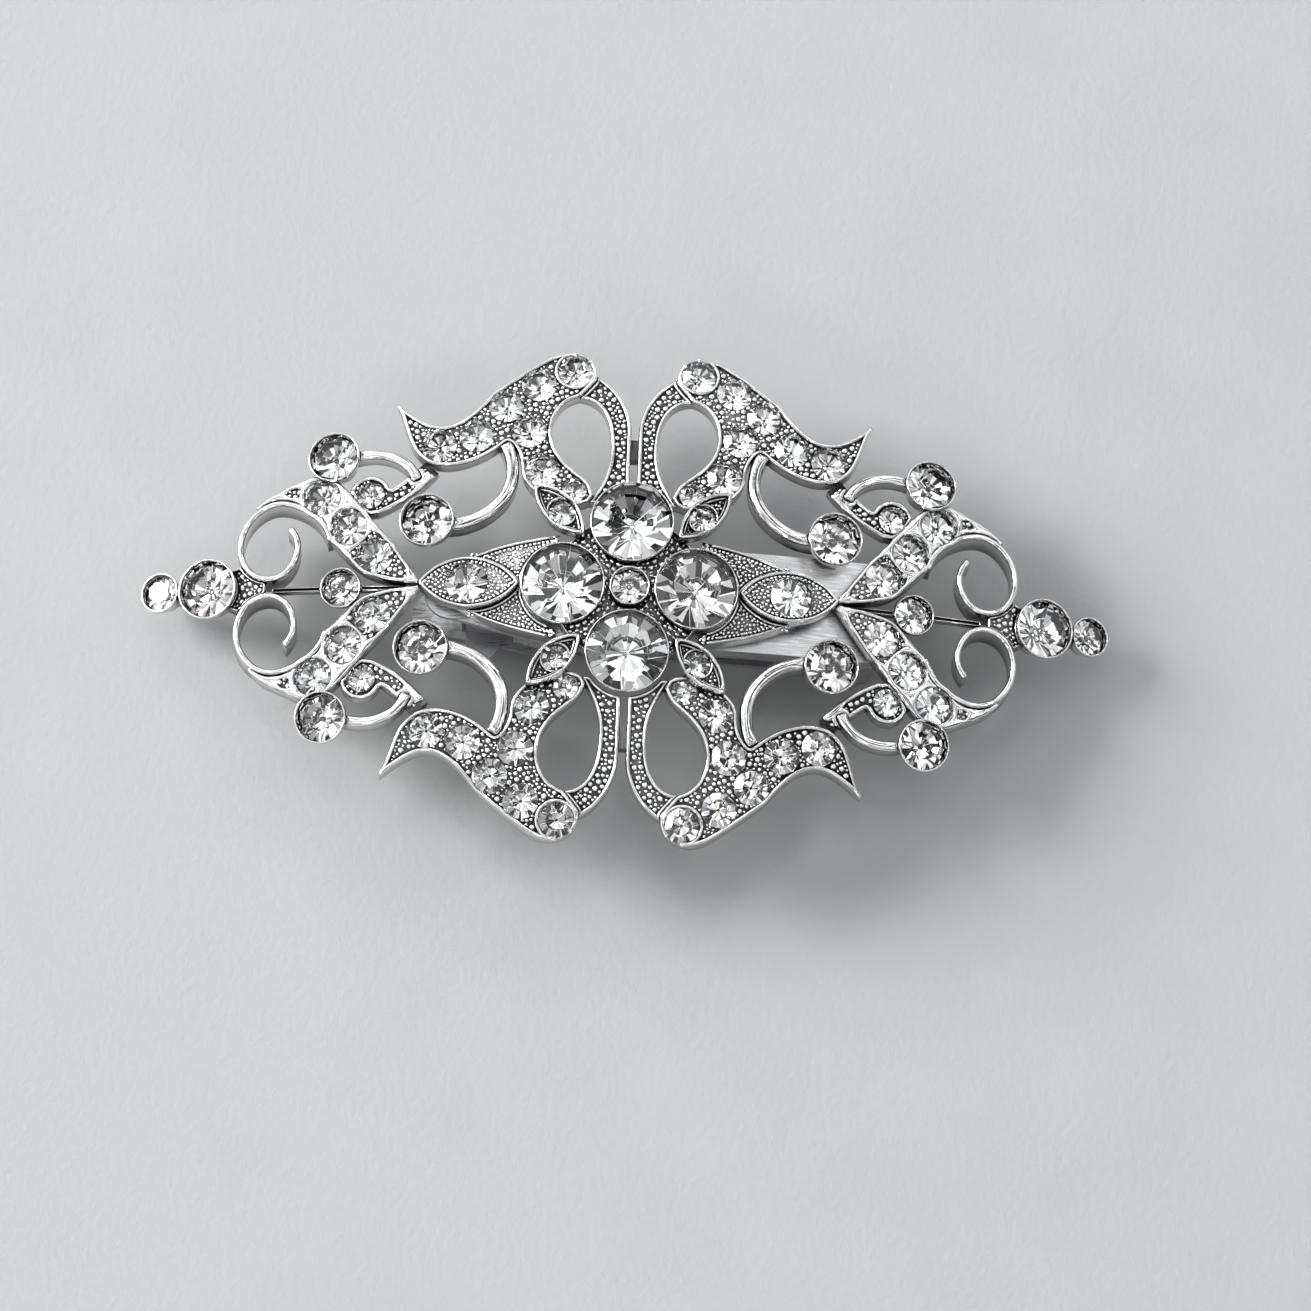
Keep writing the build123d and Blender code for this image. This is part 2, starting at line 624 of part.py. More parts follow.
# Tension bow: thin arched strip with a rolled end and two trunnions in the flanges
with BuildPart() as tension_bow:
    with BuildSketch(Plane.XZ):
        with BuildLine():
            ThreePointArc((BOW_PIVOT_X, BOW_PIVOT_Z), BOW_CREST, BOW_TIP)
        trace(line_width=BOW_T)
        with Locations((BOW_PIVOT_X, BOW_PIVOT_Z)):
            Circle(CURL_R)
    extrude(amount=BOW_HALF_W, both=True)
    with BuildSketch(Plane.XZ):
        with Locations((BOW_PIVOT_X, BOW_PIVOT_Z)):
            Circle(TRUNNION_R)
    extrude(amount=TRUNNION_REACH, both=True)
write_piece(tension_bow, "tension_bow")

# Catch: a saddle under the base plate, its rivets and two sprung wings
saddle_side = arc_band(BASE_UNDER_R, saddle_r, CATCH_X - CATCH_L / 2, CATCH_X + CATCH_L / 2)
with BuildPart() as catch_saddle:
    extrude(saddle_side, amount=WING_Y + WING_T / 2, both=True)
    with BuildSketch(Plane.XY.offset(PIN_Z + EAR_R)):
        for x in rivet_xs:
            with Locations((x, 0)):
                Circle(RIVET_R)
    extrude(amount=SLAB_REACH, mode=Mode.SUBTRACT)
write_piece(catch_saddle, "catch_saddle")

with BuildPart() as catch_rivets:
    for x in rivet_xs:
        head_z = arc_height(saddle_r, x)
        with BuildSketch(Plane((x, 0, head_z - RIVET_HEAD_T))):
            Circle(RIVET_HEAD_R)
        extrude(amount=2 * RIVET_HEAD_T)
        with BuildSketch(Plane((x, 0, head_z))):
            Circle(RIVET_R)
        extrude(amount=arc_height(BASE_TOP_R, x) - head_z)
    add(catch_saddle.part, mode=Mode.SUBTRACT)
    add(base_plate.part, mode=Mode.SUBTRACT)
write_piece(catch_rivets, "catch_rivets")

wing_root_z = arc_height(saddle_r, CATCH_X - CATCH_L / 2) - WING_ROOT_GAP
with BuildPart() as catch_wing_rear:
    with BuildSketch(Plane((CATCH_X, WING_Y, WING_FOOT_Z))):
        Rectangle(CATCH_L, WING_T)
    extrude(amount=wing_root_z - WING_FOOT_Z)
    with BuildSketch(Plane((CATCH_X, WING_Y, TAB_Z - WING_T / 2))):
        with BuildLine():
            Line((-CATCH_L / 2, 0), (CATCH_L / 2, 0))
            Line((CATCH_L / 2, 0), (CATCH_L / 2, TAB_REACH - WING_Y - CATCH_L / 2))
            ThreePointArc(
                (CATCH_L / 2, TAB_REACH - WING_Y - CATCH_L / 2),
                (0, TAB_REACH - WING_Y),
                (-CATCH_L / 2, TAB_REACH - WING_Y - CATCH_L / 2),
            )
            Line((-CATCH_L / 2, TAB_REACH - WING_Y - CATCH_L / 2), (-CATCH_L / 2, 0))
        make_face()
    extrude(amount=WING_T)
write_copies(catch_wing_rear.part, "catch_wing", {"rear": (1, 1), "front": (1, -1)})
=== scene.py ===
"""The look of the rhinestone hair clip: cut stones, cast silver with rims and granules, and steel."""
import math
import random

import bmesh
import bpy
import numpy as np
from mathutils import Matrix, Vector, kdtree


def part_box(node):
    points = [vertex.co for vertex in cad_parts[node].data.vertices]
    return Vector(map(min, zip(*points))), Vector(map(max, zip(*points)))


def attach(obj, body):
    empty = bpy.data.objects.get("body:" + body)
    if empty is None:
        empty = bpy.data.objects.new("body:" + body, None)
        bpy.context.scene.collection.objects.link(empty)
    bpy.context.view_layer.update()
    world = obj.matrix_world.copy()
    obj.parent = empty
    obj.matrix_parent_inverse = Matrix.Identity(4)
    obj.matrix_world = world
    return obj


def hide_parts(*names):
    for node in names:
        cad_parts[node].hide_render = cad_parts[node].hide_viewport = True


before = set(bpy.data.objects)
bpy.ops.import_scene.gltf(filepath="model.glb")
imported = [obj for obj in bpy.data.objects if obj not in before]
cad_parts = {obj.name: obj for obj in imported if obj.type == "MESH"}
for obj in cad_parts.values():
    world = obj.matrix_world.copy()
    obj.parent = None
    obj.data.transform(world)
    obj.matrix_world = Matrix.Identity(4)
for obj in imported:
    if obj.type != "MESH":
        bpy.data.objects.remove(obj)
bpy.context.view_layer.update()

MM = 0.001
BODY = "clip_body"
DOME_R = 107.0 * MM
BASE_TOP_R = 105.05 * MM
DOME = Vector((0, 0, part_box("base_plate")[1].z - BASE_TOP_R))
APEX = DOME + Vector((0, 0, DOME_R))
QUADRANTS = ("upper_right", "upper_left", "lower_right", "lower_left")
WELD = 0.002 * MM


# ---------------------------------------------------------------- node helpers
def new_material(name):
    """A material with its Principled shader, node tree and object coordinates."""
    mat = bpy.data.materials.new(name)
    mat.use_nodes = True
    tree = mat.node_tree
    shader = tree.nodes["Principled BSDF"]
    coords = tree.nodes.new("ShaderNodeTexCoord").outputs["Object"]
    return mat, tree, shader, coords


def stretched(tree, coords, scale):
    """Coordinates scaled by a different amount along each axis."""
    mapping = tree.nodes.new("ShaderNodeMapping")
    mapping.inputs["Scale"].default_value = scale
    tree.links.new(coords, mapping.inputs["Vector"])
    return mapping.outputs["Vector"]


def noise(tree, coords, scale, detail=4.0):
    """A noise field, as a value from 0 to 1."""
    node = tree.nodes.new("ShaderNodeTexNoise")
    node.inputs["Scale"].default_value = scale
    node.inputs["Detail"].default_value = detail
    tree.links.new(coords, node.inputs["Vector"])
    return node.outputs["Fac"]


def remap(tree, value, low, high, start=0.0, end=1.0):
    """A value range moved to another range, clamped."""
    node = tree.nodes.new("ShaderNodeMapRange")
    node.inputs["From Min"].default_value = start
    node.inputs["From Max"].default_value = end
    node.inputs["To Min"].default_value = low
    node.inputs["To Max"].default_value = high
    tree.links.new(value, node.inputs["Value"])
    return node.outputs["Result"]


def multiplied(tree, first, second):
    """The product of two values."""
    node = tree.nodes.new("ShaderNodeMath")
    node.operation = "MULTIPLY"
    tree.links.new(first, node.inputs[0])
    tree.links.new(second, node.inputs[1])
    return node.outputs["Value"]


def blend_colours(tree, factor, first, second):
    """A mix of two colours, each a tuple or a socket."""
    node = tree.nodes.new("ShaderNodeMix")
    node.data_type = "RGBA"
    tree.links.new(factor, node.inputs["Factor"])
    for colour, socket in ((first, node.inputs["A"]), (second, node.inputs["B"])):
        if isinstance(colour, tuple):
            socket.default_value = (*colour, 1.0)
        else:
            tree.links.new(colour, socket)
    return node.outputs["Result"]


def add_bump(tree, shader, height, strength, distance):
    """Bump on a shader from a height field."""
    bump = tree.nodes.new("ShaderNodeBump")
    bump.inputs["Strength"].default_value = strength
    bump.inputs["Distance"].default_value = distance
    tree.links.new(height, bump.inputs["Height"])
    tree.links.new(bump.outputs["Normal"], shader.inputs["Normal"])


# ---------------------------------------------------------------- materials
# Heights under the dome between which the darkening fades out, and how dark it leaves the lowest metal:
# partly antiquing patina, partly painted shade deep in the openwork.
PATINA_SHADE_DEPTH = 2.4 * MM
PATINA_SHADE_END = 0.1 * MM
PATINA_SHADE_LOW = 0.2
# How squarely a face looks out of the dome where its darkening begins, and where it is full: the flat floors
# between rims take painted shade as well as patina.
FACING_FROM = 0.9
FACING_FULL = 0.97


def cast_silver(name, bright, dark, roughness, reach, deepest, pitting, facing_patina_shade=1.0):
    """Plated casting, darkened where it is enclosed, deep under the dome or flat and facing out: partly
    antiquing patina, partly painted shade.

    facing_patina_shade is how bright the faces stay that look straight out of the dome.
    """
    mat, tree, shader, coords = new_material(name)
    shader.inputs["Metallic"].default_value = 1.0
    # Painted shade: ambient occlusion darkens the colour in hollows and between parts, on top of the
    # antiquing patina.
    shade_occlusion = tree.nodes.new("ShaderNodeAmbientOcclusion")
    shade_occlusion.samples = 6
    shade_occlusion.inputs["Distance"].default_value = reach
    height = tree.nodes.new("ShaderNodeVectorMath")
    height.operation = "DISTANCE"
    height.inputs[1].default_value = DOME
    tree.links.new(coords, height.inputs[0])
    # Painted shade and patina: metal lower under the dome is darker.
    risen = remap(tree, height.outputs["Value"], PATINA_SHADE_LOW, 1.0, DOME_R - PATINA_SHADE_DEPTH, DOME_R - PATINA_SHADE_END)
    away = tree.nodes.new("ShaderNodeVectorMath")
    away.operation = "SUBTRACT"
    away.inputs[1].default_value = DOME
    tree.links.new(coords, away.inputs[0])
    straight = tree.nodes.new("ShaderNodeVectorMath")
    straight.operation = "NORMALIZE"
    tree.links.new(away.outputs["Vector"], straight.inputs[0])
    facing = tree.nodes.new("ShaderNodeVectorMath")
    facing.operation = "DOT_PRODUCT"
    tree.links.new(straight.outputs["Vector"], facing.inputs[0])
    tree.links.new(tree.nodes.new("ShaderNodeTexCoord").outputs["Normal"], facing.inputs[1])
    # Painted shade and patina on the flat floors that face out of the dome.
    outward_patina_shade = remap(tree, facing.outputs["Value"], 1.0, facing_patina_shade, FACING_FROM, FACING_FULL)
    unshaded = remap(tree, shade_occlusion.outputs["AO"], 0.0, 1.0, deepest, 0.9)
    lit_and_clean = multiplied(tree, unshaded, multiplied(tree, risen, outward_patina_shade))
    cloud = noise(tree, coords, 700, 3)
    tone = blend_colours(tree, remap(tree, cloud, 0, 1, 0.35, 0.7), bright, tuple(0.9 * c for c in bright))
    tree.links.new(blend_colours(tree, lit_and_clean, dark, tone), shader.inputs["Base Color"])
    grain = noise(tree, coords, 1500, 3)
    tree.links.new(remap(tree, grain, roughness, roughness + 0.14, 0.3, 0.75), shader.inputs["Roughness"])
    add_bump(tree, shader, noise(tree, coords, 800, 3), pitting, 0.1 * MM)
    return mat


def brushed_metal(name, bright, dull, roughness):
    """Rolled and plated strip: fine lines along the clip."""
    mat, tree, shader, coords = new_material(name)
    shader.inputs["Metallic"].default_value = 1.0
    lines = noise(tree, stretched(tree, coords, (180, 5200, 3000)), 1.0, 5)
    cloud = noise(tree, coords, 260, 3)
    tone = blend_colours(tree, remap(tree, cloud, 0, 1, 0.3, 0.7), bright, dull)
    tree.links.new(tone, shader.inputs["Base Color"])
    tree.links.new(remap(tree, lines, roughness, roughness + 0.2, 0.3, 0.7), shader.inputs["Roughness"])
    add_bump(tree, shader, lines, 0.2, 0.02 * MM)
    return mat


def crystal_glass():
    """Clear cut glass with the faintest haze of wear on its facets."""
    mat, tree, shader, coords = new_material("crystal_glass")
    shader.inputs["Base Color"].default_value = (0.985, 0.985, 0.99, 1)
    shader.inputs["Transmission Weight"].default_value = 1.0
    shader.inputs["IOR"].default_value = 1.56
    haze = noise(tree, coords, 900, 5)
    tree.links.new(remap(tree, haze, 0.0, 0.015, 0.55, 0.85), shader.inputs["Roughness"])
    return mat


def mirror_foil():
    """Silvered foil on the back facets of a stone, a little warmer in places."""
    mat, tree, shader, coords = new_material("mirror_foil")
    shader.inputs["Metallic"].default_value = 1.0
    cloud = noise(tree, coords, 420, 2)
    tint = blend_colours(tree, remap(tree, cloud, 0, 1, 0.42, 0.62), (0.94, 0.95, 0.96), (0.95, 0.925, 0.91))
    tree.links.new(tint, shader.inputs["Base Color"])
    tree.links.new(remap(tree, cloud, 0.0, 0.02, 0.3, 0.7), shader.inputs["Roughness"])
    return mat


def paper():
    """Pale, slightly toothy paper."""
    mat, tree, shader, coords = new_material("pale_paper")
    shader.inputs["Specular IOR Level"].default_value = 0.2
    shader.inputs["Roughness"].default_value = 0.85
    fibre = noise(tree, coords, 1400, 6)
    cloud = noise(tree, coords, 90, 3)
    clouded = remap(tree, cloud, 0, 1, 0.3, 0.7)
    tone = blend_colours(tree, clouded, (0.385, 0.386, 0.388), (0.40, 0.401, 0.403))
    tree.links.new(tone, shader.inputs["Base Color"])
    add_bump(tree, shader, fibre, 0.35, 0.12 * MM)
    return mat


# All three castings darken towards their dark colour in hollows, deep under the dome and on flat floors:
# antiquing patina mixed with painted shade.
silver_floor = cast_silver(
    "antiqued_shaded_silver", bright=(0.80, 0.795, 0.79), dark=(0.012, 0.011, 0.010),
    roughness=0.1, reach=1.2 * MM, deepest=0.62, pitting=0.4, facing_patina_shade=0.3,
)
silver_bright = cast_silver(
    "polished_silver", bright=(0.94, 0.935, 0.93), dark=(0.025, 0.023, 0.022),
    roughness=0.04, reach=0.6 * MM, deepest=0.5, pitting=0.3,
)
nickel = brushed_metal("brushed_nickel", (0.72, 0.72, 0.72), (0.60, 0.60, 0.61), 0.2)
spring = brushed_metal("spring_steel", (0.60, 0.60, 0.61), (0.50, 0.50, 0.52), 0.24)
solder = cast_silver(
    "soft_solder", bright=(0.62, 0.62, 0.64), dark=(0.2, 0.2, 0.2),
    roughness=0.35, reach=0.5 * MM, deepest=0.2, pitting=0.4,
)
glass = crystal_glass()
foil = mirror_foil()

NODE_MATERIALS = {
    "base_plate": nickel, "hinge_pin": nickel, "catch_rivets": nickel, "catch_saddle": nickel,
    "closing_arm": nickel, "tension_bow": spring, "catch_wing_rear": spring, "catch_wing_front": spring,
    "solder_joints": solder,
}
for name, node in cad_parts.items():
    node.data.materials.clear()
    node.data.materials.append(NODE_MATERIALS.get(name, silver_floor))


# ---------------------------------------------------------------- geometry helpers
def outward(points):
    """Unit directions out of the dome at points, one row each."""
    away = points - np.array(DOME)
    return away / np.linalg.norm(away, axis=1, keepdims=True)


def finish_piece(name, bm, materials):
    """Turn a bmesh into a shown piece that rides on the clip's body."""
    mesh = bpy.data.meshes.new(name)
    bm.to_mesh(mesh)
    bm.free()
    piece = bpy.data.objects.new(name, mesh)
    bpy.context.scene.collection.objects.link(piece)
    for material in materials:
        mesh.materials.append(material)
    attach(piece, BODY)
    return piece


def resample(points, pitch):
    """Even points round a closed outline."""
    closed = np.vstack([points, points[:1]])
    along = np.concatenate([[0], np.cumsum(np.linalg.norm(np.diff(closed, axis=0), axis=1))])
    count = max(12, int(round(along[-1] / pitch)))
    marks = np.linspace(0, along[-1], count, endpoint=False)
    return np.stack([np.interp(marks, along, closed[:, k]) for k in range(3)], axis=1)


OUTLINE_PITCH = 0.14 * MM
LEAST_FACING = 0.97
LEAST_AREA = 0.05 * MM**2
LARGEST_SEAT_R = 4.5 * MM
ROUND_WITHIN = 0.05
OPEN_WIDTH = 9.0 * MM
LEAST_WIDTH = 0.05 * MM


class Top:
    """The faces of a CAD node that look out of the dome, in connected patches with their outlines."""

    def __init__(self, node):
        bm = bmesh.new()
        bm.from_mesh(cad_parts[node].data)
        bmesh.ops.remove_doubles(bm, verts=bm.verts, dist=WELD)
        bm.normal_update()
        self.patches = []
        left = set()
        for face in bm.faces:
            if face.normal.dot((face.calc_center_median() - DOME).normalized()) > LEAST_FACING:
                left.add(face)
        while left:
            stack = [left.pop()]
            faces = []
            while stack:
                face = stack.pop()
                faces.append(face)
                for edge in face.edges:
                    for other in edge.link_faces:
                        if other in left:
                            left.remove(other)
                            stack.append(other)
            self.patches.append(self.read_patch(faces))
        self.patches = [p for p in self.patches if p["area"] > LEAST_AREA and p["loops"]]
        self.patches.sort(key=lambda p: -p["area"])
        bm.free()

    @staticmethod
    def read_patch(faces):
        """The outlines, triangles and areas of one patch."""
        members = set(faces)
        following = {}
        for face in faces:
            for loop in face.loops:
                if sum(1 for other in loop.edge.link_faces if other in members) == 1:
                    step = (loop.link_loop_next.vert.index, loop.vert.co)
                    following.setdefault(loop.vert.index, []).append(step)
        loops = []
        while following:
            start = next(iter(following))
            points = []
            here = start
            while here in following:
                onward, place = following[here].pop()
                if not following[here]:
                    del following[here]
                points.append(tuple(place))
                here = onward
                if here == start:
                    break
            if len(points) > 5:
                loops.append(resample(np.array(points), OUTLINE_PITCH))
        triangles = np.array([[tuple(v.co) for v in f.verts[:3]] for f in faces])
        sides = np.cross(triangles[:, 1] - triangles[:, 0], triangles[:, 2] - triangles[:, 0])
        areas = np.linalg.norm(sides, axis=1) / 2
        outlines = [Outline(p) for p in loops]
        return {"loops": outlines, "triangles": triangles, "areas": areas, "area": areas.sum()}


class Outline:
    """A closed edge of a patch: its points, and the direction into the patch at each."""

    def __init__(self, points):
        self.points = points
        along = np.roll(points, -1, axis=0) - np.roll(points, 1, axis=0)
        along /= np.linalg.norm(along, axis=1, keepdims=True) + 1e-12
        self.out = outward(points)
        self.inward = np.cross(self.out, along)
        self.inward /= np.linalg.norm(self.inward, axis=1, keepdims=True) + 1e-12
        spokes = points - points.mean(axis=0)
        reach = np.linalg.norm(spokes, axis=1)
        is_round = reach.std() < ROUND_WITHIN * reach.mean() and reach.mean() < LARGEST_SEAT_R
        self.seat = bool(is_round and (spokes * self.inward).sum() > 0)

    def widths(self, outlines):
        """How far it is from each point to the nearest of the outlines ahead of it."""
        others = np.vstack([o.points for o in outlines])
        result = np.full(len(self.points), OPEN_WIDTH)
        for i, (point, inward) in enumerate(zip(self.points, self.inward)):
            gaps = others - point
            distance = np.linalg.norm(gaps, axis=1)
            ahead = gaps @ inward
            facing = (ahead > 0.8 * distance) & (distance > LEAST_WIDTH)
            if facing.any():
                result[i] = distance[facing].min()
        return result


TUBE_SIDES = 10


def add_tube(bm, points, radii, rise, frames):
    """A closed tube round a closed line, rise tall and radii wide. frames are the out and in directions."""
    out, inward = frames
    rings = []
    for point, radius, up, across in zip(points, radii, out, inward):
        ring = []
        for k in range(TUBE_SIDES):
            turn = 2 * math.pi * k / TUBE_SIDES
            ring.append(bm.verts.new(point + rise * math.cos(turn) * up + radius * math.sin(turn) * across))
        rings.append(ring)
    for a, b in zip(rings, rings[1:] + rings[:1]):
        for k in range(TUBE_SIDES):
            after = (k + 1) % TUBE_SIDES
            bm.faces.new((a[k], b[k], b[after], a[after])).smooth = True


def smooth_round(values, passes=6):
    """Values round a closed line, evened out."""
    for _ in range(passes):
        values = (np.roll(values, 1, axis=0) + 2 * values + np.roll(values, -1, axis=0)) / 4
    return values


def near_node(node, reach):
    """A test of which points lie within reach of a node's upper outlines."""
    others = np.vstack([outline.points for patch in Top(node).patches for outline in patch["loops"]])

    def test(points):
        return np.array([np.linalg.norm(others - point, axis=1).min() < reach for point in points])

    return test


def add_rim(bm, outline, patch, radius, rise, least=0.09 * MM, narrow=0.0, hidden=None):
    """A rounded bead of metal along an outline. A strip under narrow across is rounded right over.

    Where the hidden test holds, the bead dips into the casting.
    """
    widths = outline.widths(patch["loops"])
    radii = np.clip(0.5 * widths, least, radius)
    if narrow:
        strip = outline.widths([o for o in patch["loops"] if not o.seat])
        radii = np.where(strip < narrow, np.maximum(0.5 * strip, least), radii)
    radii = smooth_round(radii)
    inset = smooth_round(np.minimum(radii, 0.5 * widths))[:, None]
    points = smooth_round(outline.points + outline.inward * inset, 2)
    if hidden:
        points = points - outline.out * smooth_round(hidden(points).astype(float), 3)[:, None] * 2 * rise
    add_tube(bm, points, radii, rise, (outline.out, outline.inward))


def add_milgrain(bm, outline, pitch, radius, inset):
    """A row of small round beads just inside an outline."""
    points = resample(outline.points + outline.inward * inset, pitch)
    for point, up in zip(points, outward(points)):
        add_ball(bm, point + up * 0.3 * radius, radius)


BALL = bmesh.new()
bmesh.ops.create_icosphere(BALL, subdivisions=2, radius=1.0)
BALL_POINTS = [v.co.copy() for v in BALL.verts]
BALL_FACES = [[v.index for v in f.verts] for f in BALL.faces]
BALL.free()


def add_ball(bm, place, radius):
    """A granule of metal."""
    made = [bm.verts.new(Vector(place) + point * float(radius)) for point in BALL_POINTS]
    for face in BALL_FACES:
        bm.faces.new([made[i] for i in face]).smooth = True


TRIES_PER_MM2 = 70
LARGE_SHARE = 0.4
GRANULE_SINK = 0.25
GRANULE_SPACING = 0.92
OVER_RIM = 0.6
OVER_SEAT = 0.85


def scatter(bm, patch, rng, sizes, rim):
    """Granules packed on a patch, between its rims and its stones."""
    edges = [o for o in patch["loops"] if not o.seat]
    seats = [o for o in patch["loops"] if o.seat]

    def tree_of(outlines):
        points = [p for o in outlines for p in o.points]
        tree = kdtree.KDTree(len(points))
        for i, p in enumerate(points):
            tree.insert(p, i)
        tree.balance()
        return tree if points else None

    edge_tree, seat_tree = tree_of(edges), tree_of(seats)
    small, large = sizes
    cell = 2 * large
    grid = {}
    shares = np.cumsum(patch["areas"]) / patch["area"]
    all_large = LARGE_SHARE * TRIES_PER_MM2 * patch["area"] / MM**2
    for attempt in range(int(TRIES_PER_MM2 * patch["area"] / MM**2)):
        wanted = large if attempt < all_large else small + (large - small) * rng.random()
        triangle = patch["triangles"][min(int(np.searchsorted(shares, rng.random())), len(shares) - 1)]
        a, b = rng.random(), rng.random()
        if a + b > 1:
            a, b = 1 - a, 1 - b
        place = triangle[0] + a * (triangle[1] - triangle[0]) + b * (triangle[2] - triangle[0])
        room = wanted
        if edge_tree:
            room = min(room, (edge_tree.find(place)[2] - rim) / OVER_RIM)
        if seat_tree:
            room = min(room, seat_tree.find(place)[2] / OVER_SEAT)
        if room < small:
            continue
        key = tuple(int(math.floor(c / cell)) for c in place)
        near = [
            item
            for dx in (-1, 0, 1) for dy in (-1, 0, 1) for dz in (-1, 0, 1)
            for item in grid.get((key[0] + dx, key[1] + dy, key[2] + dz), ())
        ]
        if near:
            room = min(room, min(np.linalg.norm(place - p) / GRANULE_SPACING - r for p, r in near))
        if room < small:
            continue
        grid.setdefault(key, []).append((place, room))
        up = outward(place[None])[0]
        add_ball(bm, place - up * room * GRANULE_SINK, room)


# ---------------------------------------------------------------- cut stones
# Heights are shares of the diameter, and reaches are shares of the radius.
CROWN = 0.15
GIRDLE = 0.04
PAVILION = 0.345
TABLE = 0.60
CULET = 0.04
SHOULDER = 0.95
MAINS = 8
CUP_FIT = 1.035
PROUD_FIT = 1.08
PROUD_LIFT = 0.18 * MM
UNEVEN = 0.012


def add_stone(bm, place, axis, radius, rng):
    """A machine-cut chaton with its girdle at place. Its back facets are foiled and a little uneven."""
    basis = Vector(axis).to_track_quat("Z", "Y").to_matrix()
    sides = 2 * MAINS
    step = 2 * math.pi / sides
    turn = rng.random() * math.pi

    def ring(share, heights, every=1, uneven=0.0):
        points = []
        for k in range(0, sides, every):
            flat = Vector((math.cos(k * step + turn), math.sin(k * step + turn), 0)) * share * radius
            height = (heights[k % len(heights)] + uneven * rng.random()) * 2 * radius
            points.append(bm.verts.new(Vector(place) + basis @ (flat + Vector((0, 0, height)))))
        return points

    half = GIRDLE / 2
    across = math.cos(step)
    scallop = CROWN * (1 - across) / (across * (1 - TABLE))
    table = ring(TABLE, (half + CROWN,), 2)
    upper = ring(1, (half, half - scallop))
    lower = ring(SHOULDER, (-half,), uneven=UNEVEN)
    culet = ring(CULET, (-half - PAVILION,), uneven=UNEVEN)
    front = [table]
    back = [culet[::-1]]
    for k in range(MAINS):
        after = (k + 1) % MAINS
        front.append((table[k], upper[2 * k], upper[2 * k + 1], upper[2 * after], table[after]))
    for k in range(sides):
        after = (k + 1) % sides
        front.append((upper[k], lower[k], lower[after], upper[after]))
        back.append((lower[k], culet[k], culet[after], lower[after]))
    for corners in front:
        bm.faces.new(corners).material_index = 0
    for corners in back:
        bm.faces.new(corners).material_index = 1


def stone_places(node):
    """Girdle centre, axis and radius of each stone in a node."""
    bm = bmesh.new()
    bm.from_mesh(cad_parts[node].data)
    bmesh.ops.remove_doubles(bm, verts=bm.verts, dist=WELD)
    left = set(bm.verts)
    places = []
    while left:
        stack = [left.pop()]
        group = []
        while stack:
            vert = stack.pop()
            group.append(np.array(vert.co))
            for edge in vert.link_edges:
                other = edge.other_vert(vert)
                if other in left:
                    left.remove(other)
                    stack.append(other)
        points = np.array(group)
        axis = outward(points.mean(axis=0)[None])[0]
        heights = (points - np.array(DOME)) @ axis
        reach = np.linalg.norm(points - np.array(DOME) - heights[:, None] * axis, axis=1)
        girdle = reach > 0.98 * reach.max()
        places.append((np.array(DOME) + axis * heights[girdle].mean(), axis, reach.max()))
    bm.free()
    return sorted(places, key=lambda p: tuple(np.round(p[0], 6)))


STONE_NODES = sorted(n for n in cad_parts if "stone" in n)
for node in STONE_NODES:
    rng = random.Random(node)
    bm = bmesh.new()
    proud = node.startswith(("ribbon", "scroll", "crescent", "side_leaf", "petal"))
    for place, axis, radius in stone_places(node):
        if proud:
            add_stone(bm, place + PROUD_LIFT * axis, axis, PROUD_FIT * radius, rng)
        else:
            add_stone(bm, place, axis, CUP_FIT * radius, rng)
    bmesh.ops.recalc_face_normals(bm, faces=bm.faces)
    piece = finish_piece("cut_" + node, bm, (glass, foil))
    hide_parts(node)

# ---------------------------------------------------------------- rims and granulation
RIM = 0.19 * MM
MILGRAIN_PITCH = 0.4 * MM
MILGRAIN_R = 0.17 * MM
MILGRAIN_INSET = 0.5 * MM
PETAL_REACH = 7.2 * MM


def trim(node, rim=RIM, rise=0.3 * MM, beads=(0.15 * MM, 0.32 * MM), seats=0.0, bead_faces=True, **shape):
    """Rims and granules on one casting. shape goes to the rims along its edges."""
    rng = random.Random("trim " + node)
    bm = bmesh.new()
    for patch in Top(node).patches:
        for outline in patch["loops"]:
            if outline.seat:
                if seats:
                    add_rim(bm, outline, patch, seats, seats)
                continue
            add_rim(bm, outline, patch, rim, rise, **shape)
            if node.startswith("side_leaf"):
                add_milgrain(bm, outline, MILGRAIN_PITCH, MILGRAIN_R, MILGRAIN_INSET)
        if bead_faces:
            scatter(bm, patch, rng, beads, 2 * rim)
    finish_piece(node + "_trim", bm, (silver_bright,))


def under_petals(points):
    """Which points lie on the inner ends of the side leaves."""
    return np.abs(points[:, 0]) < PETAL_REACH


for place in QUADRANTS:
    trim("ribbon_" + place, least=RIM)
    trim("scroll_arm_" + place, least=0.25 * MM, narrow=1.2 * MM)
    trim("leaf_setting_" + place, rim=0.14 * MM, rise=0.4 * MM, beads=(0.12 * MM, 0.2 * MM), seats=0.1 * MM)
    trim("branch_" + place, rim=0.65 * MM, rise=0.5 * MM, bead_faces=False)
    trim("arch_" + place, rim=0.22 * MM, narrow=1.1 * MM, hidden=near_node("ribbon_" + place, 0.9 * MM))
for side in ("right", "left"):
    trim("side_leaf_" + side, rim=0.16 * MM, beads=(0.12 * MM, 0.2 * MM), hidden=under_petals)
    trim("axis_cup_" + side, rim=0.1 * MM)
    trim("end_finial_" + side, rim=0.1 * MM)
trim("centre_flower_setting", rim=0.1 * MM)

